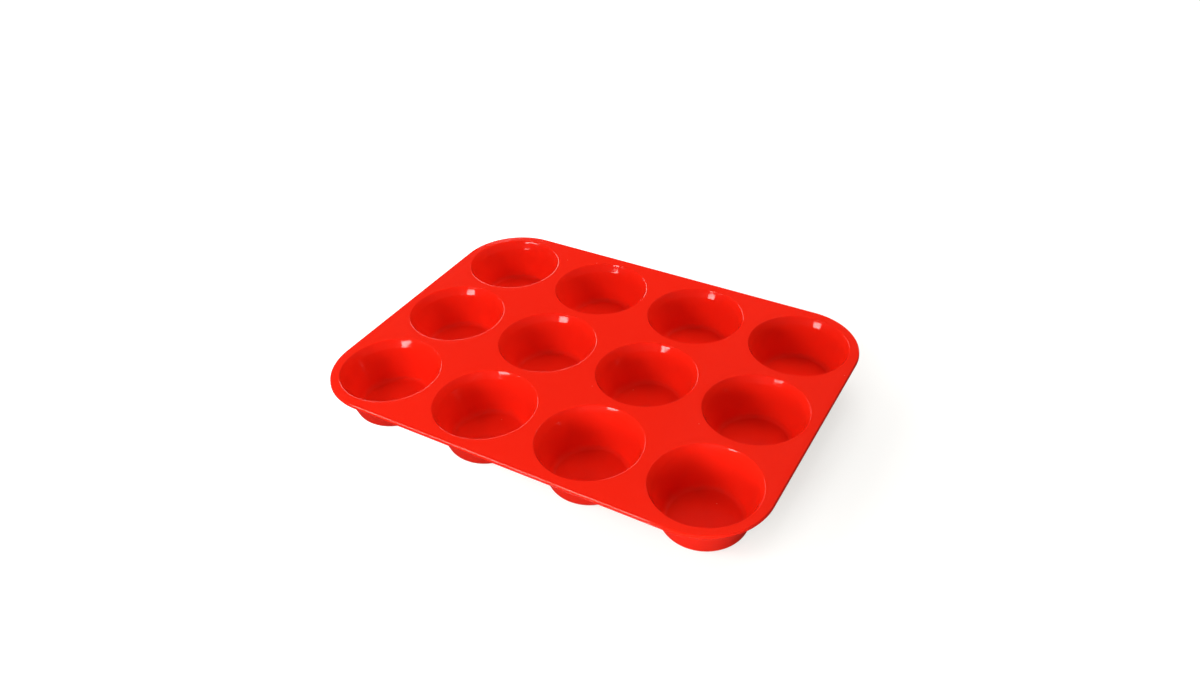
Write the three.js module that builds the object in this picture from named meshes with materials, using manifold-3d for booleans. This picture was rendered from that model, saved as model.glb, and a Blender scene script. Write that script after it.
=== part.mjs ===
// A silicone muffin pan: one flexible moulding with a flat deck, a thicker rounded edge all round it, and a
// grid of tapered cups that hang from the deck. Empty, it stands on the undersides of its cups.
// Millimetres, +Z up, +X along the pan's length. The origin is on the surface that the pan stands on,
// under the middle of the deck.

import * as THREE from "three";
import { mergeVertices } from "three/addons/utils/BufferGeometryUtils.js";
import Module from "manifold-3d";

const wasm = await Module();
wasm.setup();

// The grid of cups. A web is the flat of the deck that is left between two neighbouring mouths.
const cupsAlong = 4;
const cupsAcross = 3;
const webAlong = 9.7;
const webAcross = 7.3;

// One cup. The mouth and the floor are measured where the straight wall would meet the deck's top and
// the cup's floor if nothing was rounded.
const mouthDiameter = 71.5;
const floorDiameter = 52;
const wallThickness = 1.8;
const floorThickness = 2;
const lipRound = 0.8;
const floorRound = 4;
const footRound = 5.5;
const rootRound = 1.4;

// The deck and its edge. A margin is the flat from a mouth to the pan's outline. The corners turn about a
// centre that lies a little further in than the corner cup's axis, by the corner ease.
const panHeight = 31.5;
const deckThickness = 2.2;
const marginAlong = 7.45;
const marginAcross = 7.95;
const cornerEase = 3;
const edgeDepth = 3.2;
const edgeWidth = 3.6;
const edgeRound = 0.9;
const edgeRootRound = 0.5;

// How far a cutting solid runs past the face that it cuts.
const cutOverrun = 2;

// How finely the round forms are faceted.
const cupSides = 30;
const roundSteps = 3;
const hiddenRoundSteps = 2;
const cornerSteps = 5;

// What follows from the sizes above.
const mouthRadius = mouthDiameter / 2;
const floorRadius = floorDiameter / 2;
const pitchAlong = mouthDiameter + webAlong;
const pitchAcross = mouthDiameter + webAcross;
const panLength = pitchAlong * (cupsAlong - 1) + mouthDiameter + 2 * marginAlong;
const panWidth = pitchAcross * (cupsAcross - 1) + mouthDiameter + 2 * marginAcross;
const cornerRadius = mouthRadius + Math.min(marginAlong, marginAcross) + cornerEase;
const deckUnderside = panHeight - deckThickness;
const edgeUnderside = panHeight - edgeDepth;

// The cup's wall leans out by the same slope inside and outside.
const wallSlope = (mouthRadius - floorRadius) / (panHeight - floorThickness);
const wallAcross = wallThickness * Math.hypot(1, wallSlope);
const innerWall = (height) => new THREE.Vector2(floorRadius + (height - floorThickness) * wallSlope, height);
const outerWall = (height) => new THREE.Vector2(innerWall(height).x + wallAcross, height);

// A closed geometry as a solid that can be joined and cut. Vertices that meet are made one, and the
// triangles that have no area, at the poles of a revolved form, are left out.
function solidOf(geometry) {
  geometry.deleteAttribute("normal");
  geometry.deleteAttribute("uv");
  const merged = mergeVertices(geometry);
  const corners = merged.index.array;
  const triangles = [];
  for (let i = 0; i < corners.length; i += 3) {
    const [a, b, c] = corners.subarray(i, i + 3);
    if (a !== b && b !== c && c !== a) {
      triangles.push(a, b, c);
    }
  }
  return new wasm.Manifold(
    new wasm.Mesh({
      numProp: 3,
      vertProperties: merged.attributes.position.array,
      triVerts: new Uint32Array(triangles),
    }),
  );
}

// A finished solid as a geometry that can be drawn.
function geometryOf(solid) {
  const { vertProperties, triVerts } = solid.getMesh();
  const geometry = new THREE.BufferGeometry();
  geometry.setAttribute("position", new THREE.BufferAttribute(vertProperties, 3));
  geometry.setIndex(new THREE.BufferAttribute(triVerts, 1));
  geometry.computeVertexNormals();
  return geometry;
}

// The points of an arc that rounds a corner of a profile. Each straight leg gives up half of its length at
// most, so two rounds on one leg never run into each other.
function roundedCorner(from, corner, to, radius, steps = roundSteps) {
  const back = from.clone().sub(corner);
  const ahead = to.clone().sub(corner);
  const halfAngle = back.angleTo(ahead) / 2;
  const reach = Math.min(radius / Math.tan(halfAngle), back.length() / 2, ahead.length() / 2);
  const arcRadius = reach * Math.tan(halfAngle);
  const turnsRight = back.cross(ahead) > 0;
  back.normalize();
  ahead.normalize();
  const start = corner.clone().addScaledVector(back, reach);
  const end = corner.clone().addScaledVector(ahead, reach);
  const inward = back.clone().add(ahead).normalize();
  const centre = corner.clone().addScaledVector(inward, arcRadius / Math.sin(halfAngle));
  const startAngle = start.sub(centre).angle();
  const endAngle = end.sub(centre).angle();
  return new THREE.EllipseCurve(
    centre.x, centre.y, arcRadius, arcRadius, startAngle, endAngle, turnsRight,
  ).getPoints(steps);
}

// A form of revolution about the upright axis, from the points of its outline, bottom to top.
function revolved(outline) {
  const geometry = new THREE.LatheGeometry(outline, cupSides);
  geometry.rotateX(Math.PI / 2);
  return solidOf(geometry);
}

// The outside of one cup, from its flat foot to the round that runs out into the deck's underside. It
// ends in the middle of the deck, so the two are one.
function cupOutside() {
  const axisFoot = new THREE.Vector2(0, 0);
  const foot = outerWall(0);
  const root = outerWall(deckUnderside);
  const deckRunOut = root.clone().setX(root.x + Math.min(webAlong, webAcross));
  const rootArc = roundedCorner(foot, root, deckRunOut, rootRound, hiddenRoundSteps);
  const insideDeck = deckUnderside + deckThickness / 2;
  return revolved([
    axisFoot,
    ...roundedCorner(axisFoot, foot, root, footRound),
    ...rootArc,
    new THREE.Vector2(rootArc.at(-1).x, insideDeck),
    new THREE.Vector2(0, insideDeck),
  ]);
}

// The hollow of one cup: a flat floor, a round, the tapered wall, and a rounded lip that runs out into the
// deck's top.
function cupHollow() {
  const axisFloor = new THREE.Vector2(0, floorThickness);
  const floorEdge = innerWall(floorThickness);
  const lip = innerWall(panHeight);
  const deckRunOut = lip.clone().setX(lip.x + Math.min(webAlong, webAcross));
  const lipArc = roundedCorner(floorEdge, lip, deckRunOut, lipRound);
  const clearOfDeck = panHeight + cutOverrun;
  return revolved([
    axisFloor,
    ...roundedCorner(axisFloor, floorEdge, lip, floorRound),
    ...lipArc,
    new THREE.Vector2(lipArc.at(-1).x, clearOfDeck),
    new THREE.Vector2(0, clearOfDeck),
  ]);
}

// The pan's outline, drawn in from its edge by an inset.
function outline(inset) {
  const right = panLength / 2 - inset;
  const top = panWidth / 2 - inset;
  const radius = cornerRadius - inset;
  const shape = new THREE.Shape();
  shape.absarc(right - radius, top - radius, radius, 0, Math.PI / 2);
  shape.absarc(radius - right, top - radius, radius, Math.PI / 2, Math.PI);
  shape.absarc(radius - right, radius - top, radius, Math.PI, 1.5 * Math.PI);
  shape.absarc(right - radius, radius - top, radius, 1.5 * Math.PI, 2 * Math.PI);
  return shape;
}

// A slab with the pan's outline between two heights, its edges rounded at both faces.
function roundedSlab(inset, bottom, top, round, steps) {
  const geometry = new THREE.ExtrudeGeometry(outline(inset), {
    depth: top - bottom - 2 * round,
    bevelThickness: round,
    bevelSize: round,
    bevelOffset: -round,
    bevelSegments: steps,
    curveSegments: cornerSteps,
  });
  geometry.translate(0, 0, bottom + round);
  return solidOf(geometry);
}

// The deck is thinner than its edge: a shallow recess under it leaves the thick band all round.
function deckWithEdge() {
  const slab = roundedSlab(0, edgeUnderside, panHeight, edgeRound, roundSteps);
  const recessFloor = edgeUnderside - cutOverrun;
  const recess = roundedSlab(edgeWidth, recessFloor, deckUnderside, edgeRootRound, hiddenRoundSteps);
  return slab.subtract(recess);
}

// Cup axes: a centred grid.
function cupPlaces() {
  const places = [];
  for (let row = 0; row < cupsAcross; row += 1) {
    for (let column = 0; column < cupsAlong; column += 1) {
      const x = (column - (cupsAlong - 1) / 2) * pitchAlong;
      const y = (row - (cupsAcross - 1) / 2) * pitchAcross;
      places.push([x, y, 0]);
    }
  }
  return places;
}

// The moulding: every cup's outside joined to the deck first, then every hollow cut.
function moulding() {
  const outside = cupOutside();
  const hollow = cupHollow();
  let body = deckWithEdge();
  for (const place of cupPlaces()) {
    body = body.add(outside.translate(place));
  }
  for (const place of cupPlaces()) {
    body = body.subtract(hollow.translate(place));
  }
  return body;
}

const redSilicone = new THREE.MeshStandardMaterial({ color: 0xf5210f, roughness: 0.42, metalness: 0 });

const muffinPan = new THREE.Mesh(geometryOf(moulding()), redSilicone);
muffinPan.name = "muffin_pan";

const pan = new THREE.Group();
pan.add(muffinPan);

export default pan;
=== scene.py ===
# %% [markdown]
# # A red silicone muffin pan
#
# The object is one flexible moulding: a flat deck with a thicker edge, and a grid of tapered cups. The
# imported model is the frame. It has the pan at its real size, faceted, and this script makes the fine
# surface that stands for it, and its finish. The order is: the frame, the sizes, the camera, the surface
# made with Geometry Nodes, the silicone, and at the end the floor, the light and the checks.

# %% The frame
import math

import bmesh
import bpy
from mathutils import Matrix, Vector


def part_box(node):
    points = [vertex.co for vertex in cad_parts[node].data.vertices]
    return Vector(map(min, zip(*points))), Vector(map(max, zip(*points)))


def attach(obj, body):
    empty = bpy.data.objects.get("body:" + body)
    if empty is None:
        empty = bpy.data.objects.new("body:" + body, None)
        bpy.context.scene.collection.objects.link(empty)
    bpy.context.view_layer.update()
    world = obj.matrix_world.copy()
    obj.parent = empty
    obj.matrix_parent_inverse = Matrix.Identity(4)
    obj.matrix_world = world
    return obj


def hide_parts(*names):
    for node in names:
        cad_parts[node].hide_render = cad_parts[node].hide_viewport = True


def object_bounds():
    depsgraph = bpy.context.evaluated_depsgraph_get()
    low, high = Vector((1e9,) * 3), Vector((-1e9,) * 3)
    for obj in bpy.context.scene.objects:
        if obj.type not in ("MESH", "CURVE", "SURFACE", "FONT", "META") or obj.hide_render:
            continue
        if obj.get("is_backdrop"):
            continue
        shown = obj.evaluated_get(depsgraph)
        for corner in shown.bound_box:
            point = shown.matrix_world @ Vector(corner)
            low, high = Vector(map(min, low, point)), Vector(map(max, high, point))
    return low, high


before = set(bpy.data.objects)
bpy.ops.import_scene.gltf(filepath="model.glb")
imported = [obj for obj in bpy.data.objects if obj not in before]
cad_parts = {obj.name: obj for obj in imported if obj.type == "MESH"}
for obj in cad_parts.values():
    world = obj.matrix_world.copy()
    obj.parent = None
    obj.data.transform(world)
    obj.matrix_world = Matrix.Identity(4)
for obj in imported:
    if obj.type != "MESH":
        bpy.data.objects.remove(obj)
cad_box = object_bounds()
NODE = "muffin_pan"
lowest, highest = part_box(NODE)
PAN_LENGTH, PAN_WIDTH, PAN_HEIGHT = highest - lowest

# %% [markdown]
# ## Sizes
#
# Everything is in metres. The outer size comes from the frame. The mouths, the floors and the walls are
# the sizes that the pan was drawn with, and the pitch of the cups is worked out from them, so the cups keep
# their place if the frame grows. A cup's mouth and floor are measured where the straight wall would meet
# the deck and the floor if nothing was rounded, because that is how a mould maker dimensions a draft.

# %% Named sizes
MM = 0.001
CUPS_ALONG, CUPS_ACROSS = 4, 3
MOUTH_RADIUS = 35.75 * MM
FLOOR_RADIUS = 26 * MM
WALL = 1.8 * MM
FLOOR_THICKNESS = 2 * MM
LIP_ROUND = 0.8 * MM
FLOOR_ROUND = 4 * MM
FOOT_ROUND = 5.5 * MM
ROOT_ROUND = 1.4 * MM
DECK_THICKNESS = 2.2 * MM
MARGIN_ALONG, MARGIN_ACROSS = 7.45 * MM, 7.95 * MM
CORNER_EASE = 3 * MM
EDGE_DEPTH = 3.2 * MM
EDGE_WIDTH = 3.6 * MM
EDGE_ROOT_ROUND = 0.5 * MM

PITCH_ALONG = (PAN_LENGTH - 2 * (MARGIN_ALONG + MOUTH_RADIUS)) / (CUPS_ALONG - 1)
PITCH_ACROSS = (PAN_WIDTH - 2 * (MARGIN_ACROSS + MOUTH_RADIUS)) / (CUPS_ACROSS - 1)
CORNER_RADIUS = MOUTH_RADIUS + min(MARGIN_ALONG, MARGIN_ACROSS) + CORNER_EASE
SLOPE = (MOUTH_RADIUS - FLOOR_RADIUS) / (PAN_HEIGHT - FLOOR_THICKNESS)
WALL_ACROSS = WALL * math.hypot(1, SLOPE)
DECK_UNDERSIDE = PAN_HEIGHT - DECK_THICKNESS
print(f"pitch {PITCH_ALONG:.4f} along and {PITCH_ACROSS:.4f} across")
print(f"draft {math.degrees(math.atan(SLOPE)):.1f} degrees")

# %% [markdown]
# ## The camera
#
# The photograph's camera was found by fitting the lips of the cups, the outline and the feet. It looks
# down at about 36 degrees, from the right of the pan's long side, and is turned a little about its own
# axis. Its focal length was fitted in pixels of a 1200 pixel wide image. The width of a sensor turns that
# into a lens, and any width would do, as long as it is the same in both places.

# %% Camera
PHOTO_WIDTH = 1200
FOCAL_PIXELS = 979.93
SENSOR_WIDTH = 36
AZIMUTH, ELEVATION, ROLL = (math.radians(angle) for angle in (31.083, 36.172, -2.311))
DISTANCE, SIDE_STEP, UP_STEP = 695.78 * MM, 3.10 * MM, 13.64 * MM


def towards(azimuth, elevation):
    """The direction from the pan to an azimuth, which is 0 in front and 90 at the right, and a height."""
    return Vector((
        math.sin(azimuth) * math.cos(elevation),
        -math.cos(azimuth) * math.cos(elevation),
        math.sin(elevation),
    ))


def camera_axes(azimuth, elevation, roll):
    """Right, up and back of a camera that looks at the pan from an azimuth and an elevation."""
    back = towards(azimuth, elevation)
    level_right = Vector((0, 0, 1)).cross(back).normalized()
    level_up = back.cross(level_right)
    right = math.cos(roll) * level_right + math.sin(roll) * level_up
    return right, back.cross(right), back


right, up, back = camera_axes(AZIMUTH, ELEVATION, ROLL)
deck_middle = Vector((0, 0, PAN_HEIGHT))
camera_place = deck_middle + DISTANCE * back + SIDE_STEP * right + UP_STEP * up
camera_data = bpy.data.cameras.new("photo_camera")
camera_data.sensor_width = SENSOR_WIDTH
camera_data.lens = FOCAL_PIXELS / PHOTO_WIDTH * SENSOR_WIDTH
camera = bpy.data.objects.new("photo_camera", camera_data)
camera.matrix_world = Matrix.Translation(camera_place) @ Matrix((right, up, back)).transposed().to_4x4()
bpy.context.scene.collection.objects.link(camera)
bpy.context.scene.camera = camera
print(f"camera: lens {camera_data.lens:.1f} mm at {[round(x, 3) for x in camera.location]}")

# %% [markdown]
# ## A small bench for node trees
#
# Geometry Nodes and shaders are both trees, and both are easier to read when a node and what feeds it
# stand in one line. `place` adds a node: a socket gets a plain value, or another node's output, which is
# linked. The other helpers are short names for the nodes that come up most.

# %% Placing nodes
# A Mix node keeps its colours after the sockets for numbers and vectors.
MIX_SHARE, MIX_FIRST_COLOUR, MIX_SECOND_COLOUR, MIX_COLOUR_OUT = 0, 6, 7, 2


def place(tree, kind, sockets=None, **settings):
    """A new node in a tree. sockets maps a socket's name or number to a value or to an output."""
    node = tree.nodes.new(kind)
    for name, value in settings.items():
        setattr(node, name, value)
    for key, value in (sockets or {}).items():
        if isinstance(value, bpy.types.NodeSocket):
            tree.links.new(value, node.inputs[key])
        else:
            node.inputs[key].default_value = value
    return node


def maths(tree, operation, *values):
    """One step of arithmetic on numbers or outputs, in the order of the node's sockets."""
    return place(tree, "ShaderNodeMath", dict(enumerate(values)), operation=operation).outputs[0]


def ramp(tree, value, start, end, low, high, shape="LINEAR"):
    """low where the value is below start, high where it is above end, and a ramp from one to the other."""
    sockets = {"Value": value, "From Min": start, "From Max": end, "To Min": low, "To Max": high}
    return place(tree, "ShaderNodeMapRange", sockets, interpolation_type=shape).outputs[0]


def colour_between(tree, share, first, second):
    """The first colour where the share is 0, the second where it is 1."""
    sockets = {MIX_SHARE: share, MIX_FIRST_COLOUR: first, MIX_SECOND_COLOUR: second}
    return place(tree, "ShaderNodeMix", sockets, data_type="RGBA").outputs[MIX_COLOUR_OUT]


def new_tree(name, kind, inputs, outputs):
    """A node group with named sockets, and its input and output nodes."""
    tree = bpy.data.node_groups.new(name, kind)
    for socket_name, socket_type, value in inputs:
        socket = tree.interface.new_socket(socket_name, in_out="INPUT", socket_type=socket_type)
        if value is not None:
            socket.default_value = value
    for socket_name, socket_type in outputs:
        tree.interface.new_socket(socket_name, in_out="OUTPUT", socket_type=socket_type)
    return tree, tree.nodes.new("NodeGroupInput"), tree.nodes.new("NodeGroupOutput")


# %% [markdown]
# ## The surface, made by a rule
#
# A mould maker draws two section lines for a cup, one for its inside and one for its outside, and turns
# each about the cup's axis. The edge is a third section line, carried round the pan's outline. Geometry
# Nodes can do just that. A section line is a short polyline whose corners Fillet Curve rounds, each by its
# own radius. Curve to Mesh sweeps it round a circle or round the outline. A grid of points carries the
# cups. What is left open is the flat of the deck, above and below, and its boundary is already there, as
# the free edges of what was swept: Fill Curve closes it. Merge by Distance then welds one closed skin.
#
# A section line has an extra point just before and after most rounds. The rings that they make are flat or
# straight, so the smooth shading of a round stays in the round and doesn't creep over the flat deck.

# %% Section lines
ROUND_STEPS = 8
SUPPORT = 0.08 * MM


def section_line(tree, points, rounds):
    """A polyline from (outward, height) pairs, with a rounding radius at each."""
    line = place(tree, "GeometryNodeMeshLine", {"Count": len(points)})
    number = place(tree, "GeometryNodeInputIndex").outputs[0]
    places = place(tree, "GeometryNodeIndexSwitch", {"Index": number}, data_type="VECTOR")
    radii = place(tree, "GeometryNodeIndexSwitch", {"Index": number}, data_type="FLOAT")
    for switch in (places, radii):
        while len(switch.index_switch_items) < len(points):
            switch.index_switch_items.new()
    # The first socket is the index. A swept profile's Y points down, so a height goes in negative.
    for i, ((outward, height), radius) in enumerate(zip(points, rounds), start=1):
        places.inputs[i].default_value = (outward, -height, 0)
        radii.inputs[i].default_value = radius
    drawn = place(
        tree, "GeometryNodeSetPosition", {"Geometry": line.outputs[0], "Position": places.outputs[0]}
    )
    curve = place(tree, "GeometryNodeMeshToCurve", {"Mesh": drawn.outputs[0]})
    return place(
        tree,
        "GeometryNodeFilletCurve",
        {"Curve": curve.outputs[0], "Count": ROUND_STEPS, "Radius": radii.outputs[0]},
        mode="POLY",
    ).outputs[0]


def between(a, b, share):
    """A point on the straight line from a to b."""
    return tuple(p + (q - p) * share for p, q in zip(a, b))


def reach_from_flat(radius, a, b):
    """How much of each leg a round takes, where a flat line turns into the line from a to b."""
    turn = math.atan2(b[1] - a[1], b[0] - a[0])
    return radius * math.tan(turn / 2) + SUPPORT


print(f"a round has {ROUND_STEPS} steps, and its supports lie {SUPPORT / MM:.2f} mm outside it")

# %% [markdown]
# ## The cup's two section lines
#
# Outside, the wall is one straight draft between the foot's round and the root's. Inside, it leans out a
# little more near the mouth, in two steps that long rounds blend into one: the collar, and above it the
# flare. A straight wall would mirror only the wall across from it. Leaning out this far, it mirrors what
# lies just over the near lip, a low light in front, and that is the small bright rectangle under a far lip.
# Both lines could be drawn as curves by hand, but corners with radii are what a mould drawing holds, and
# they are easy to change.

# %% Cup sections
CUP_SIDES = 96
# Both lines are swept round a circle of this radius, and their places are measured from it.
RING = MOUTH_RADIUS


def cup_section(wall, rounds):
    """Places and rounds of a cup's section, from its axis over the floor and up the wall to the deck.

    wall has the points where the straight stretches would meet, from the floor's edge to the deck's.
    """
    floor_edge, top_edge = wall[0], wall[-1]
    floor_reach = reach_from_flat(rounds[0], wall[0], wall[1])
    top_reach = reach_from_flat(rounds[-1], wall[-2], wall[-1])
    places = [
        (0, floor_edge[1]),
        (floor_edge[0] - floor_reach, floor_edge[1]),
        floor_edge,
        between(floor_edge, wall[1], floor_reach / math.dist(floor_edge, wall[1])),
        *wall[1:-1],
        between(top_edge, wall[-2], top_reach / math.dist(top_edge, wall[-2])),
        top_edge,
        (top_edge[0] + top_reach, top_edge[1]),
    ]
    from_ring = [(outward - RING, height) for outward, height in places]
    return from_ring, [0, 0, rounds[0], 0, *rounds[1:-1], 0, rounds[-1], 0]


def inner_wall(height):
    """A point of the straight inside wall."""
    return FLOOR_RADIUS + (height - FLOOR_THICKNESS) * SLOPE, height


def outer_wall(height):
    """A point of the straight outside wall."""
    return inner_wall(height)[0] + WALL_ACROSS, height


def leaned_out(top, depth, lean):
    """The point a depth below another one, on a wall that leans out by an angle."""
    return top[0] - depth * math.tan(lean), top[1] - depth


FLARE_DEPTH, FLARE_LEAN, FLARE_ROUND = 1.7 * MM, math.radians(25.5), 25 * MM
COLLAR_DEPTH, COLLAR_LEAN, COLLAR_ROUND = 4.5 * MM, math.radians(22), 9 * MM
mouth_edge = inner_wall(PAN_HEIGHT)
flare_foot = leaned_out(mouth_edge, FLARE_DEPTH, FLARE_LEAN)
collar_foot = leaned_out(flare_foot, COLLAR_DEPTH, COLLAR_LEAN)
HOLLOW = cup_section(
    [inner_wall(FLOOR_THICKNESS), collar_foot, flare_foot, mouth_edge],
    [FLOOR_ROUND, COLLAR_ROUND, FLARE_ROUND, LIP_ROUND],
)
OUTSIDE = cup_section([outer_wall(0), outer_wall(DECK_UNDERSIDE)], [FOOT_ROUND, ROOT_ROUND])
for label, (places, _) in (("lip", HOLLOW), ("root", OUTSIDE)):
    print(f"{label} runs out at radius {(places[-1][0] + RING) / MM:.1f} mm")

# %% [markdown]
# ## The edge's section line
#
# In the photograph the front edge shows two fine bright lines with a darker band between them. A line so
# fine is light that is mirrored in a narrow slope, and the edge has two of these: a facet along its top,
# and the upper flank of a low ridge further down, where the halves of the mould part. Below the ridge the
# edge draws in, as the lower half of a mould asks. The section runs from the deck over the facet, down the
# face, over the ridge, down the draft, round the bottom and back up to the deck's underside.

# %% Edge section
PARTING_HEIGHT, PARTING_LEAN, PARTING_ROUND = 0.2 * MM, math.radians(36), 0.08 * MM
PARTING_DROP = 2 * MM
FACET_DROP, FACET_LEAN, FACET_ROUND = 0.6 * MM, math.radians(36), 0.3 * MM
DRAFT_LEAN, BOTTOM_ROUND, HEEL_ROUND = math.radians(25), 0.7 * MM, 0.4 * MM

# The ridge's crest is the outline, so the face lies in from it. Half the ridge's width down the face is its
# reach, and below it the draft starts.
FACE = -PARTING_HEIGHT
PARTING_REACH = PARTING_HEIGHT / math.tan(PARTING_LEAN)
RIDGE_FOOT_DROP = PARTING_DROP + PARTING_REACH
FACET_TOP = FACE - FACET_DROP * math.tan(FACET_LEAN)
FACET_TURN = math.radians(90) - FACET_LEAN
DECK_END = FACET_TOP - FACET_ROUND * math.tan(FACET_TURN / 2) - SUPPORT
BOTTOM_END = FACE - (EDGE_DEPTH - RIDGE_FOOT_DROP) * math.tan(DRAFT_LEAN)

# Outward from the outline, up from the deck's top, and the radius of the round there.
EDGE_CORNERS = [
    (DECK_END - SUPPORT, 0, 0),
    (DECK_END, 0, 0),
    (FACET_TOP, 0, FACET_ROUND),
    (FACE, -FACET_DROP, FACET_ROUND),
    (FACE, PARTING_REACH - PARTING_DROP, 0),
    (0, -PARTING_DROP, PARTING_ROUND),
    (FACE, -RIDGE_FOOT_DROP, 0),
    (BOTTOM_END, -EDGE_DEPTH, BOTTOM_ROUND),
    (-EDGE_WIDTH, -EDGE_DEPTH, HEEL_ROUND),
    (-EDGE_WIDTH, -DECK_THICKNESS, EDGE_ROOT_ROUND),
    (-EDGE_WIDTH - EDGE_ROOT_ROUND - SUPPORT, -DECK_THICKNESS, 0),
]
EDGE = (
    [(outward, PAN_HEIGHT + height) for outward, height, _ in EDGE_CORNERS],
    [radius for _, _, radius in EDGE_CORNERS],
)
print(f"the flat deck ends {-DECK_END / MM:.2f} mm inside the outline")

# %% [markdown]
# ## Parts of the tree
#
# The tree's own inputs are the sizes that someone might want to turn: the outline, the grid, and how many
# sides a cup has. The two finishes are inputs too, because the side that touches the dough is smoother
# than the underside. The parts are a section turned into a cup, the same cup at every point of the grid,
# and the flat between the edge and the cups. That flat has twelve round holes, and no primitive has its
# shape, so it is filled from the edges that it has to meet. They are picked out as the ones with a face on
# one side only, at the height of the flat.

# %% Cups, grid and flats
LEVEL_TOLERANCE = 0.1 * MM
# A Compare node keeps its whole numbers after the sockets for fractions.
COMPARE_FIRST_WHOLE, COMPARE_SECOND_WHOLE = 2, 3

PAN_INPUTS = [
    ("Length", "NodeSocketFloat", PAN_LENGTH),
    ("Width", "NodeSocketFloat", PAN_WIDTH),
    ("Corner Radius", "NodeSocketFloat", CORNER_RADIUS),
    ("Cups Along", "NodeSocketInt", CUPS_ALONG),
    ("Cups Across", "NodeSocketInt", CUPS_ACROSS),
    ("Pitch Along", "NodeSocketFloat", PITCH_ALONG),
    ("Pitch Across", "NodeSocketFloat", PITCH_ACROSS),
    ("Cup Sides", "NodeSocketInt", CUP_SIDES),
    ("Baking Side", "NodeSocketMaterial", None),
    ("Underside", "NodeSocketMaterial", None),
]


def span(tree, pitch, count):
    """The distance from the first to the last of a row of cups."""
    return maths(tree, "MULTIPLY", pitch, maths(tree, "SUBTRACT", count, 1.0))


def swept(tree, path, section):
    """A section carried along a path."""
    line = section_line(tree, *section)
    return place(tree, "GeometryNodeCurveToMesh", {"Curve": path, "Profile Curve": line}).outputs[0]


def turned_cup(tree, sides, section):
    """A section line turned about the upright axis."""
    circle = place(tree, "GeometryNodeCurvePrimitiveCircle", {"Resolution": sides, "Radius": RING})
    return swept(tree, circle.outputs[0], section)


def on_grid(tree, points, cup):
    """The same cup at every point, as real mesh."""
    copies = place(tree, "GeometryNodeInstanceOnPoints", {"Points": points, "Instance": cup})
    return place(tree, "GeometryNodeRealizeInstances", {"Geometry": copies.outputs[0]}).outputs[0]


def joined(tree, *parts):
    """Several geometries as one."""
    join = tree.nodes.new("GeometryNodeJoinGeometry")
    for part in parts:
        tree.links.new(part, join.inputs[0])
    return join.outputs[0]


def flat_fill(tree, around, height):
    """The flat between the edge and the cups: the free edges that lie at one height, filled."""
    faces_beside = place(tree, "GeometryNodeInputMeshEdgeNeighbors").outputs[0]
    free = place(
        tree,
        "FunctionNodeCompare",
        {COMPARE_FIRST_WHOLE: faces_beside, COMPARE_SECOND_WHOLE: 1},
        data_type="INT",
        operation="EQUAL",
    )
    where = place(tree, "ShaderNodeSeparateXYZ", {0: place(tree, "GeometryNodeInputPosition").outputs[0]})
    level = place(
        tree,
        "FunctionNodeCompare",
        {0: where.outputs["Z"], 1: height, "Epsilon": LEVEL_TOLERANCE},
        data_type="FLOAT",
        operation="EQUAL",
    )
    wanted = place(
        tree, "FunctionNodeBooleanMath", {0: free.outputs[0], 1: level.outputs[0]}, operation="AND"
    )
    rings = place(tree, "GeometryNodeMeshToCurve", {"Mesh": around, "Selection": wanted.outputs[0]})
    fill = place(tree, "GeometryNodeFillCurve", {"Curve": rings.outputs[0]})
    lifted = place(
        tree, "GeometryNodeSetPosition", {"Geometry": fill.outputs[0], "Offset": (0, 0, height)}
    )
    return lifted.outputs[0]


print(f"inputs of the tree: {[name for name, _, _ in PAN_INPUTS]}")

# %% [markdown]
# ## The whole tree
#
# Hollows, outsides and edge are swept first, then the two flats are filled between them. The outsides and
# the lower flat face the wrong way after the sweep, and are flipped. Each side gets its finish before the
# weld, so the line between the finishes is the line where the two sides meet.

# %% The pan's tree
CORNER_STEPS = 24
WELD = 2e-6


def pan_outline(tree, size):
    """The pan's outline as a curve: a rectangle with round corners."""
    block = place(
        tree, "GeometryNodeCurvePrimitiveQuadrilateral", {"Width": size["Length"], "Height": size["Width"]}
    )
    return place(
        tree,
        "GeometryNodeFilletCurve",
        {"Curve": block.outputs[0], "Count": CORNER_STEPS, "Radius": size["Corner Radius"]},
        mode="POLY",
    ).outputs[0]


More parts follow.
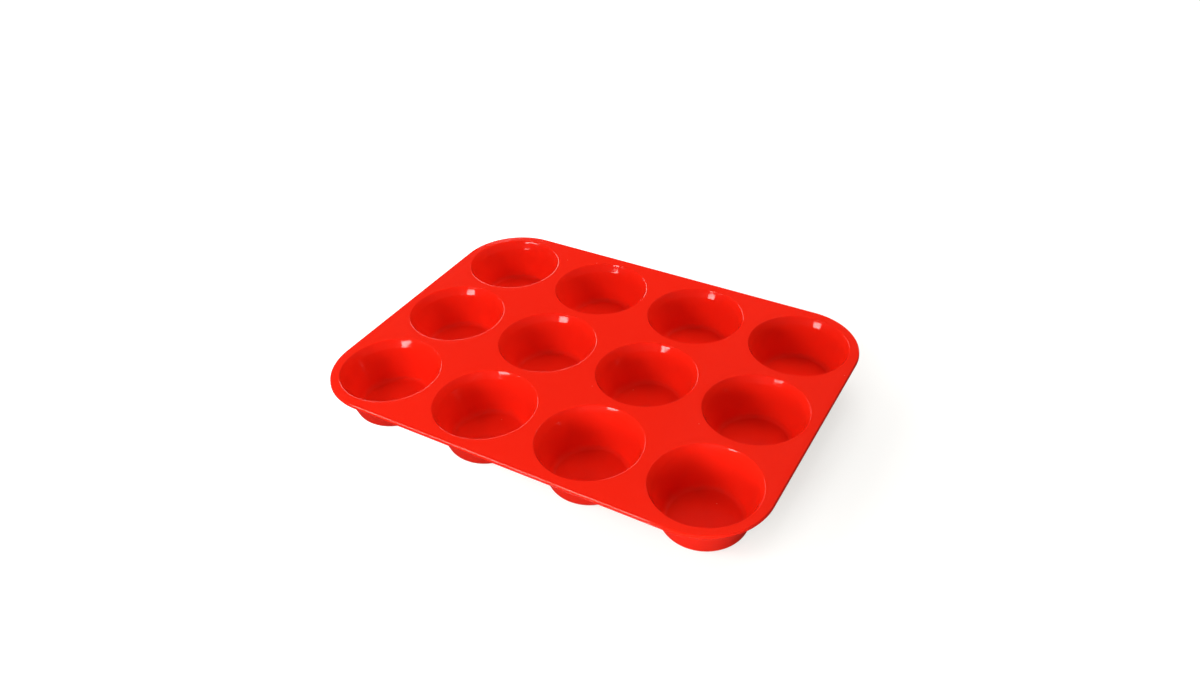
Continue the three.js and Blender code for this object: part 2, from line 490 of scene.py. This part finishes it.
def pan_tree():
    """The whole pan as one Geometry Nodes tree."""
    tree, given, result = new_tree(
        "muffin_pan_surface", "GeometryNodeTree", PAN_INPUTS, [("Geometry", "NodeSocketGeometry")]
    )
    size = given.outputs
    grid = place(
        tree,
        "GeometryNodeMeshGrid",
        {
            "Size X": span(tree, size["Pitch Along"], size["Cups Along"]),
            "Size Y": span(tree, size["Pitch Across"], size["Cups Across"]),
            "Vertices X": size["Cups Along"],
            "Vertices Y": size["Cups Across"],
        },
    )
    hollows = on_grid(tree, grid.outputs[0], turned_cup(tree, size["Cup Sides"], HOLLOW))
    outsides = on_grid(tree, grid.outputs[0], turned_cup(tree, size["Cup Sides"], OUTSIDE))
    edge = swept(tree, pan_outline(tree, size), EDGE)
    top = flat_fill(tree, joined(tree, edge, hollows), PAN_HEIGHT)
    bottom = flat_fill(tree, joined(tree, edge, outsides), DECK_UNDERSIDE)
    flipped = place(tree, "GeometryNodeFlipFaces", {0: joined(tree, outsides, bottom)})
    baking_side = place(
        tree,
        "GeometryNodeSetMaterial",
        {"Geometry": joined(tree, hollows, top, edge), "Material": size["Baking Side"]},
    )
    underside = place(
        tree, "GeometryNodeSetMaterial", {"Geometry": flipped.outputs[0], "Material": size["Underside"]}
    )
    skin = place(
        tree,
        "GeometryNodeMergeByDistance",
        {"Geometry": joined(tree, baking_side.outputs[0], underside.outputs[0]), "Distance": WELD},
    )
    smooth = place(tree, "GeometryNodeSetShadeSmooth", {"Geometry": skin.outputs[0]})
    whole = place(tree, "GeometryNodeRealizeInstances", {"Geometry": smooth.outputs[0]})
    tree.links.new(whole.outputs[0], result.inputs[0])
    return tree


pan_surface = pan_tree()
print(f"{pan_surface.name}: {len(pan_surface.nodes)} nodes")

# %% [markdown]
# ## The silicone
#
# Platinum or peroxide cured silicone is coloured all through with pigment. It reflects little, because its
# refractive index is only about 1.41, and it lets a little light in, which softens its shadows. The side
# that the dough touches copies a polished steel mould, and the underside copies a blasted one. Each effect
# that both have is a small node group, used by both finishes with values of its own. The groups give out
# only masks, heights and colours, and the shader with its constants stays in the material.
#
# The first effect is the mould's texture: a fine grain, on top of a long soft waviness from cooling. The
# grain is a few thousandths of a millimetre high at most, and the waviness at most a tenth over several
# centimetres. It could be a displaced mesh, but a bump is enough for that, and keeps the mesh light.

# %% Mould texture
GRAIN_DETAIL, WAVINESS_DETAIL = 3.0, 1.0


def noise(tree, where, scale, detail, distortion=0.0):
    """A noise pattern from 0 to 1, at a scale in repeats for each metre."""
    sockets = {"Vector": where, "Scale": scale, "Detail": detail, "Distortion": distortion}
    return place(tree, "ShaderNodeTexNoise", sockets).outputs[0]


def surface_place(tree):
    """The place on the pan that a pattern reads."""
    return place(tree, "ShaderNodeTexCoord").outputs["Object"]


def mould_texture():
    """Height of the fine texture that the mould leaves, on top of a long waviness."""
    tree, given, result = new_tree(
        "mould_texture",
        "ShaderNodeTree",
        [
            ("Grain per Metre", "NodeSocketFloat", 2600.0),
            ("Grain Height", "NodeSocketFloat", 0.000004),
            ("Waviness per Metre", "NodeSocketFloat", 16.0),
            ("Waviness Height", "NodeSocketFloat", 0.00012),
        ],
        [("Height", "NodeSocketFloat")],
    )
    where = surface_place(tree)
    grain = noise(tree, where, given.outputs["Grain per Metre"], GRAIN_DETAIL)
    waves = noise(tree, where, given.outputs["Waviness per Metre"], WAVINESS_DETAIL)
    fine = maths(tree, "MULTIPLY", grain, given.outputs["Grain Height"])
    height = maths(tree, "MULTIPLY_ADD", waves, given.outputs["Waviness Height"], fine)
    tree.links.new(height, result.inputs["Height"])
    return tree


MOULD_TEXTURE = mould_texture()
print(f"{MOULD_TEXTURE.name}: {len(MOULD_TEXTURE.nodes)} nodes")

# %% [markdown]
# ## Traces of handling
#
# Fingers and washing leave a glossy pan a little smoother in some places and duller in others. The change
# is in the roughness alone, in soft patches a few centimetres wide.

# %% Handling
PATCH_DETAIL, PATCH_DISTORTION = 4.0, 1.2
NOISE_MIDDLE = 0.5


def handling_patches():
    """Roughness that changes in soft patches, as where fingers and dough have been."""
    tree, given, result = new_tree(
        "handling_patches",
        "ShaderNodeTree",
        [
            ("Roughness", "NodeSocketFloat", 0.3),
            ("Change", "NodeSocketFloat", 0.08),
            ("Patches per Metre", "NodeSocketFloat", 30.0),
        ],
        [("Roughness", "NodeSocketFloat")],
    )
    patches = noise(
        tree, surface_place(tree), given.outputs["Patches per Metre"], PATCH_DETAIL, PATCH_DISTORTION
    )
    centred = maths(tree, "SUBTRACT", patches, NOISE_MIDDLE)
    rough = maths(tree, "MULTIPLY_ADD", centred, given.outputs["Change"], given.outputs["Roughness"])
    tree.links.new(rough, result.inputs["Roughness"])
    return tree


HANDLING = handling_patches()
print(f"{HANDLING.name}: {len(HANDLING.nodes)} nodes")

# %% [markdown]
# ## Pigment and lint
#
# Pigment is stirred into the silicone and is never quite even, so the red drifts between two close shades.
# Silicone also draws dust: here and there sits a pale speck of lint, half a millimetre wide. The specks
# are the middles of a few Voronoi cells, chosen by a random number that each cell carries as its colour.

# %% Colour
CLOUDS_PER_METRE, CLOUD_DETAIL = 9.0, 3.0
LINT_CELLS_PER_METRE = 210.0
# The radius of a speck, as a share of a cell.
LINT_RADIUS = 0.055


def pigment_and_lint():
    """Colour of the silicone: pigment that is not quite even, and a few pale specks of lint."""
    tree, given, result = new_tree(
        "pigment_and_lint",
        "ShaderNodeTree",
        [
            ("Colour", "NodeSocketColor", (0.85, 0.0162, 0.0056, 1)),
            ("Deeper Colour", "NodeSocketColor", (0.815, 0.015, 0.0050, 1)),
            ("Lint Colour", "NodeSocketColor", (0.9, 0.25, 0.2, 1)),
            ("Lint Share", "NodeSocketFloat", 0.02),
        ],
        [("Colour", "NodeSocketColor"), ("Lint", "NodeSocketFloat")],
    )
    where = surface_place(tree)
    cloud = noise(tree, where, CLOUDS_PER_METRE, CLOUD_DETAIL)
    base = colour_between(tree, cloud, given.outputs["Deeper Colour"], given.outputs["Colour"])
    cells = place(
        tree,
        "ShaderNodeTexVoronoi",
        {"Vector": where, "Scale": LINT_CELLS_PER_METRE, "Randomness": 1.0},
    )
    chance = place(tree, "ShaderNodeSeparateColor", {0: cells.outputs["Color"]}).outputs[0]
    chosen = maths(tree, "LESS_THAN", chance, given.outputs["Lint Share"])
    near = maths(tree, "LESS_THAN", cells.outputs["Distance"], LINT_RADIUS)
    speck = maths(tree, "MULTIPLY", chosen, near)
    colour = colour_between(tree, speck, base, given.outputs["Lint Colour"])
    tree.links.new(colour, result.inputs["Colour"])
    tree.links.new(speck, result.inputs["Lint"])
    return tree


PIGMENT = pigment_and_lint()
print(f"{PIGMENT.name}: {len(PIGMENT.nodes)} nodes")

# %% [markdown]
# ## The two finishes
#
# Both are the same silicone, so one function makes them, and they differ in what the mould and the hands
# have left. The shares of the light's depth are long in red and short in green and blue, because red is
# the one colour that this pigment lets through.

# %% Finishes
SILICONE_INDEX = 1.41
LIGHT_DEPTH = 0.9 * MM
LIGHT_DEPTH_SHARES = (1.0, 0.12, 0.06)
LIGHT_IN = 0.12


def silicone(name, mould_values, handling_values):
    """A finish of the red silicone. The mould's texture and the handling differ between the two sides."""
    material = bpy.data.materials.new(name)
    material.use_nodes = True
    tree = material.node_tree
    shader = tree.nodes["Principled BSDF"]
    shader.inputs["IOR"].default_value = SILICONE_INDEX
    shader.inputs["Subsurface Weight"].default_value = LIGHT_IN
    shader.inputs["Subsurface Radius"].default_value = LIGHT_DEPTH_SHARES
    shader.inputs["Subsurface Scale"].default_value = LIGHT_DEPTH
    mould = place(tree, "ShaderNodeGroup", node_tree=MOULD_TEXTURE)
    patches = place(tree, "ShaderNodeGroup", node_tree=HANDLING)
    colour = place(tree, "ShaderNodeGroup", node_tree=PIGMENT)
    for group, values in ((mould, mould_values), (patches, handling_values)):
        for socket, value in values.items():
            group.inputs[socket].default_value = value
    relief = place(tree, "ShaderNodeBump", {"Distance": 1.0, "Height": mould.outputs["Height"]})
    tree.links.new(colour.outputs["Colour"], shader.inputs["Base Color"])
    tree.links.new(patches.outputs["Roughness"], shader.inputs["Roughness"])
    tree.links.new(relief.outputs["Normal"], shader.inputs["Normal"])
    return material


polished = silicone(
    "silicone_polished",
    {"Grain per Metre": 3200.0, "Grain Height": 0.0000003, "Waviness Height": 0.00005},
    {"Roughness": 0.075, "Change": 0.03},
)
satin = silicone(
    "silicone_satin",
    {"Grain per Metre": 2400.0, "Grain Height": 0.000002, "Waviness Height": 0.00010},
    {"Roughness": 0.5, "Change": 0.10},
)
print(f"finishes: {polished.name} on the baking side, {satin.name} on the underside")

# %% [markdown]
# ## From the tree to a piece
#
# The tree is run once, on an empty mesh, and its result is kept as a plain mesh. A modifier's inputs are
# set by the sockets' identifiers, because two sockets may have the same name. The finished mesh is then
# looked at as a caster would look at a pattern: is it one closed skin, does it point outwards, and how much
# silicone would it take?

# %% Making the piece
CUBIC_CM = 1e-6


def grown(name, tree, values):
    """The result of a Geometry Nodes tree as an object with a plain mesh."""
    piece = bpy.data.objects.new(name, bpy.data.meshes.new(name))
    bpy.context.scene.collection.objects.link(piece)
    modifier = piece.modifiers.new("surface", "NODES")
    modifier.node_group = tree
    for socket in tree.interface.items_tree:
        if socket.item_type == "SOCKET" and socket.in_out == "INPUT":
            modifier[socket.identifier] = values[socket.name]
    seen = piece.evaluated_get(bpy.context.evaluated_depsgraph_get())
    mesh = bpy.data.meshes.new_from_object(seen)
    piece.modifiers.clear()
    piece.data = mesh
    mesh.name = name
    # A slot without a finish is left over from the empty mesh.
    while None in mesh.materials[:]:
        mesh.materials.pop(index=mesh.materials[:].index(None))
    return piece


def inspect(piece):
    """Counts faults and measures the piece, to print, and stops where it is not one closed skin."""
    mesh = bmesh.new()
    mesh.from_mesh(piece.data)
    triangles = sum(len(face.verts) - 2 for face in mesh.faces)
    open_edges = sum(1 for edge in mesh.edges if len(edge.link_faces) != 2)
    turned = sum(1 for edge in mesh.edges if not edge.is_contiguous)
    volume = mesh.calc_volume(signed=True)
    mesh.free()
    print(f"{piece.name}: {triangles} triangles, {volume / CUBIC_CM:.1f} cm3")
    print(f"{open_edges} open edges, {turned} edges between faces that point different ways")
    if open_edges or turned or volume <= 0:
        raise RuntimeError(f"{piece.name} is not one closed skin that points outwards")


pan_values = {name: value for name, _, value in PAN_INPUTS}
pan_values["Baking Side"] = polished
pan_values["Underside"] = satin
pan = grown("silicone_pan", pan_surface, pan_values)
inspect(pan)
shares = {slot.name: 0 for slot in pan.data.materials}
for face in pan.data.polygons:
    shares[pan.data.materials[face.material_index].name] += 1
print(f"faces in each finish: {shares}")

# %% [markdown]
# ## The piece joins the frame
#
# The pan moves as one, so the piece rides on the frame's only body. It stands for the faceted pan, and its
# slot says which substance it is made of.

# %% Joining
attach(pan, "root")
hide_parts(NODE)
print(f"{pan.name} stands for {NODE}")

# %% [markdown]
# ## The floor
#
# A white table, as product photographs have it. It could be lit until it is white, but then it would light
# the pan from below as well. So what the camera sees of it is mostly a glow, and on top of that a third of
# the light that falls on it, which is enough to keep the pan's shadow. The glow paints shade: it is two
# thirds of white round a spot at the pan's right, where the shadow falls, which leaves a painted warm grey
# there, and full white away from the spot, which washes the pan's own shadow out at the left and front. To
# light that bounces, the floor is a mid grey, and darker still in the pan's mirror image, so that the cups'
# outsides keep their depth.

# %% Floor
FLOOR_HALF = 4.0
FLOOR_COLOUR = (0.2, 0.2, 0.197, 1)
MIRRORED_COLOUR = (0.08, 0.08, 0.08, 1)
SEEN_COLOUR = (0.34, 0.34, 0.34, 1)
# The glow paints shade: it is warm and dim round SHADOW_SPOT, where the pan's shadow falls, and white from
# FAR_START on.
GLOW_COLOUR = (1, 0.985, 0.95, 1)
SHADOW_SPOT = (0.1, 0.03, 0)
GLOW_NEAR, GLOW_FAR = 0.66, 1.05
NEAR_END, FAR_START = 0.08, 0.32


def floor_material():
    """A diffuse floor that the camera sees lifted towards white, less so round the shadow spot, as painted
    shade.
    """
    material = bpy.data.materials.new("floor_white")
    material.use_nodes = True
    tree = material.node_tree
    tree.nodes.clear()
    rays = place(tree, "ShaderNodeLightPath").outputs
    unseen_colour = colour_between(tree, rays["Is Glossy Ray"], FLOOR_COLOUR, MIRRORED_COLOUR)
    unseen = place(tree, "ShaderNodeBsdfDiffuse", {"Color": unseen_colour})
    seen = place(tree, "ShaderNodeBsdfDiffuse", {"Color": SEEN_COLOUR})
    where = place(tree, "ShaderNodeTexCoord").outputs["Object"]
    # The glow strength rises with the distance from SHADOW_SPOT, which paints a shade at the pan's right.
    away = place(tree, "ShaderNodeVectorMath", {0: where, 1: SHADOW_SPOT}, operation="DISTANCE")
    strength = ramp(tree, away.outputs["Value"], NEAR_END, FAR_START, GLOW_NEAR, GLOW_FAR)
    glow = place(tree, "ShaderNodeEmission", {"Color": GLOW_COLOUR, "Strength": strength})
    lifted = place(tree, "ShaderNodeAddShader", {0: seen.outputs[0], 1: glow.outputs[0]})
    either = place(
        tree,
        "ShaderNodeMixShader",
        {0: rays["Is Camera Ray"], 1: unseen.outputs[0], 2: lifted.outputs[0]},
    )
    place(tree, "ShaderNodeOutputMaterial", {"Surface": either.outputs[0]})
    return material


floor_mesh = bpy.data.meshes.new("floor")
corners = [(-FLOOR_HALF, -FLOOR_HALF, 0), (FLOOR_HALF, -FLOOR_HALF, 0)]
corners += [(-x, -y, z) for x, y, z in corners]
floor_mesh.from_pydata(corners, [], [(0, 1, 2, 3)])
floor = bpy.data.objects.new("floor", floor_mesh)
floor.data.materials.append(floor_material())
bpy.context.scene.collection.objects.link(floor)
floor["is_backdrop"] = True
print(f"floor: {2 * FLOOR_HALF:.0f} m square, glow {GLOW_NEAR} by the shadow and {GLOW_FAR} away from it")

# %% [markdown]
# ## The room
#
# The room is white where the camera sees it. It doesn't light the pan, because the lamps do that better.
# The polished silicone still has to mirror something, or it would look like paper. What it mirrors is a
# faint brightness, stronger near the horizon, where a real room has its windows and walls.

# %% Room
# The level low down and high up, and the elevations between which it changes.
ROOM_LOW_LEVEL, ROOM_HIGH_LEVEL = 0.08, 0.03
LOW_END, HIGH_START = math.radians(8), math.radians(24)


def room():
    """A world that is white to the camera, faint in the pan's mirror image, and gives no other light."""
    world = bpy.data.worlds.new("room")
    world.use_nodes = True
    tree = world.node_tree
    tree.nodes.clear()
    direction = place(tree, "ShaderNodeTexCoord").outputs["Generated"]
    rise = place(tree, "ShaderNodeSeparateXYZ", {0: direction}).outputs["Z"]
    level = ramp(
        tree,
        rise,
        math.sin(LOW_END),
        math.sin(HIGH_START),
        ROOM_LOW_LEVEL,
        ROOM_HIGH_LEVEL,
        "SMOOTHSTEP",
    )
    rays = place(tree, "ShaderNodeLightPath").outputs
    mirrored = maths(tree, "MULTIPLY", rays["Is Glossy Ray"], level)
    strength = maths(tree, "MAXIMUM", rays["Is Camera Ray"], mirrored)
    sky = place(tree, "ShaderNodeBackground", {"Color": (1, 1, 1, 1), "Strength": strength})
    place(tree, "ShaderNodeOutputWorld", {"Surface": sky.outputs[0]})
    return world


bpy.context.scene.world = room()
print(f"room: mirrored at {ROOM_LOW_LEVEL} low down and {ROOM_HIGH_LEVEL} high up")

# %% [markdown]
# ## The lamps
#
# A studio has two kinds of source for a glossy thing: soft boxes that light it, and panels that it only
# mirrors. Here both are area lamps, which differ in the rays that see them, so each can be set without
# spoiling the other. A key at the front left lights the right walls of the cups and leaves the left ones
# dark. Three boxes behind and two in front fill the rest, and a small one fills the near right corner.
# Then the panels: a low window in front makes the small rectangles under the far lips, a long strip above
# it makes the fine lines along the front edge, and a card behind at the left the lines round the lips.
#
# A lamp's power says little, because it depends on the distance. So each is given by its level: what a
# white card would show where the lamp points.

# %% Lamps
PAN_MIDDLE = (0, 0, 0.02)


def soft_box(name, spot, aim, width, height, level, only_mirrored=False):
    """A rectangular lamp that faces a point. level is what a white card there would show, facing it."""
    data = bpy.data.lights.new(name, "AREA")
    data.shape = "RECTANGLE"
    data.size, data.size_y = width, height
    throw = Vector(spot) - Vector(aim)
    data.energy = level * (math.pi * throw.length) ** 2
    lamp = bpy.data.objects.new(name, data)
    lamp.location = spot
    lamp.rotation_mode = "QUATERNION"
    lamp.rotation_quaternion = throw.to_track_quat("Z", "Y")
    lamp.visible_camera = False
    lamp.visible_glossy = only_mirrored
    lamp.visible_diffuse = not only_mirrored
    bpy.context.scene.collection.objects.link(lamp)
    print(f"{name}: {data.energy:.1f} W, radiance {data.energy / (math.pi * width * height):.1f}")


def from_direction(azimuth, elevation, distance):
    """A place as seen from the pan: azimuth as for the camera, elevation above the floor, in degrees."""
    return distance * towards(math.radians(azimuth), math.radians(elevation))


# Name, azimuth, elevation, distance, width, height and level.
LIGHTING_BOXES = [
    ("key_left", -40, 31, 0.75, 0.22, 0.22, 0.54),
    ("back_left", -120, 22, 0.8, 0.4, 0.4, 0.36),
    ("back", 180, 45, 0.8, 0.4, 0.4, 0.40),
    ("back_right", 150, 45, 0.8, 0.4, 0.4, 0.41),
    ("front", 0, 45, 0.8, 0.4, 0.4, 0.30),
    ("front_low", 5, 8, 0.8, 0.4, 0.2, 0.38),
]
# Name, place, the point that it faces, width, height and level.
CORNER_FILL = ("corner_fill", (0.19, -0.27, 0.06), (0.122, -0.1, 0.015), 0.1, 0.06, 0.66)
MIRRORED_PANELS = [
    ("mirror_window", (-0.12, -0.58, 0.107), (-0.04, -0.04, 0.03), 0.2, 0.06, 0.17),
    ("mirror_strip", (-0.385, -0.68, 0.271), (-0.385, -0.12, 0.031), 0.6, 0.04, 0.28),
    ("mirror_card", (-0.42, 0.227, 0.12), (-0.1, -0.08, 0.03), 0.42, 0.13, 0.45),
]
for name, azimuth, elevation, distance, width, height, level in LIGHTING_BOXES:
    soft_box(name, from_direction(azimuth, elevation, distance), PAN_MIDDLE, width, height, level)
soft_box(*CORNER_FILL)
for panel in MIRRORED_PANELS:
    soft_box(*panel, only_mirrored=True)

# %% [markdown]
# ## Finish
#
# The colours were matched with the Standard view, which shows a level as it is. The visual model's box is
# measured again, and both boxes are printed, so that they can be compared.

# %% Checks
scene = bpy.context.scene
scene.view_settings.view_transform = "Standard"
visual_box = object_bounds()
print("CAD box", [[round(x, 4) for x in corner] for corner in cad_box])
print("visual box", [[round(x, 4) for x in corner] for corner in visual_box])
